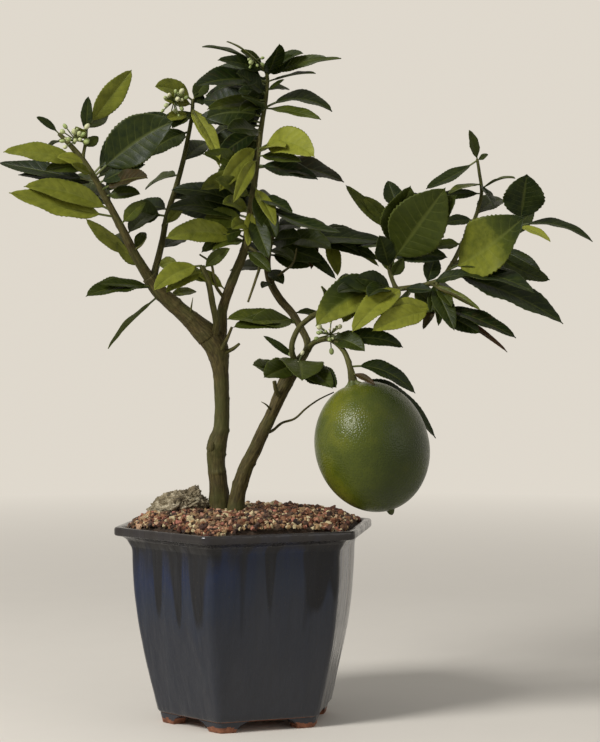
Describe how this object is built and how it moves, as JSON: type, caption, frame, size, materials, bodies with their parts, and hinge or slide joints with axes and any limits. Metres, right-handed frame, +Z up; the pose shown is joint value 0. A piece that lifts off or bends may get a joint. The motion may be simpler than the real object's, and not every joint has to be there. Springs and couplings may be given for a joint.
{
  "type": "lemon bonsai tree",
  "caption": "Small twin-trunk lemon bonsai with glossy leaves and a green fruit, in a six-sided glazed pot filled with soil and gravel.",
  "frame": {"origin": "centre of the tree and pot's box at table level, so the pot stands left of the origin", "axes": "+Z up along the trunks, +X along the tree's spread from the leaning limb to the fruit side, +Y from the front to the back"},
  "size_m": [0.3236, 0.1416, 0.3662],
  "materials": {
    "glazed_stoneware": "gloss",
    "soil": "matte",
    "gravel": "matte",
    "stone": "matte",
    "lemon_skin": "satin",
    "bark": "matte",
    "young_bark": "matte",
    "leaf": "satin"
  },
  "bodies": {
    "root": {"branch_left_inner": "young_bark", "branch_left_outer": "young_bark", "branch_mid": "young_bark", "branch_right": "young_bark", "fruit_stalk": "young_bark", "gravel": "gravel", "leader_right": "young_bark", "leaf_branch_left_inner_1": "leaf", "leaf_branch_left_inner_2": "leaf", "leaf_branch_left_outer_1": "leaf", "leaf_branch_left_outer_2": "leaf", "leaf_branch_left_outer_3": "leaf", "leaf_branch_left_outer_4": "leaf", "leaf_branch_left_outer_5": "leaf", "leaf_branch_left_outer_6": "leaf", "leaf_branch_left_outer_7": "leaf", "leaf_branch_right_1": "leaf", "leaf_fruit_stalk_1": "leaf", "leaf_leader_right_1": "leaf", "leaf_leader_right_2": "leaf", "leaf_limb_centre_1": "leaf", "leaf_limb_centre_10": "leaf", "leaf_limb_centre_11": "leaf", "leaf_limb_centre_2": "leaf", "leaf_limb_centre_3": "leaf", "leaf_limb_centre_4": "leaf", "leaf_limb_centre_5": "leaf", "leaf_limb_centre_6": "leaf", "leaf_limb_centre_7": "leaf", "leaf_limb_centre_8": "leaf", "leaf_limb_centre_9": "leaf", "leaf_limb_left_1": "leaf", "leaf_limb_left_2": "leaf", "leaf_trunk_right_1": "leaf", "leaf_trunk_right_2": "leaf", "leaf_twig_left_low_1": "leaf", "leaf_twig_left_top_1": "leaf", "leaf_twig_right_inner_1": "leaf", "leaf_twig_right_inner_2": "leaf", "leaf_twig_right_low_1": "leaf", "leaf_twig_right_low_2": "leaf", "leaf_twig_right_outer_1": "leaf", "leaf_twig_right_outer_2": "leaf", "leaf_twig_right_up_1": "leaf", "leaf_twig_right_up_2": "leaf", "leaf_twig_right_up_3": "leaf", "lemon": "lemon_skin", "limb_centre": "bark", "limb_left": "bark", "pot": "glazed_stoneware", "rock": "stone", "soil": "soil", "trunk_left": "bark", "trunk_right": "bark", "twig_left_low": "young_bark", "twig_left_top": "young_bark", "twig_right_inner": "young_bark", "twig_right_low": "young_bark", "twig_right_outer": "young_bark", "twig_right_up": "young_bark"}
  },
  "joints": []
}
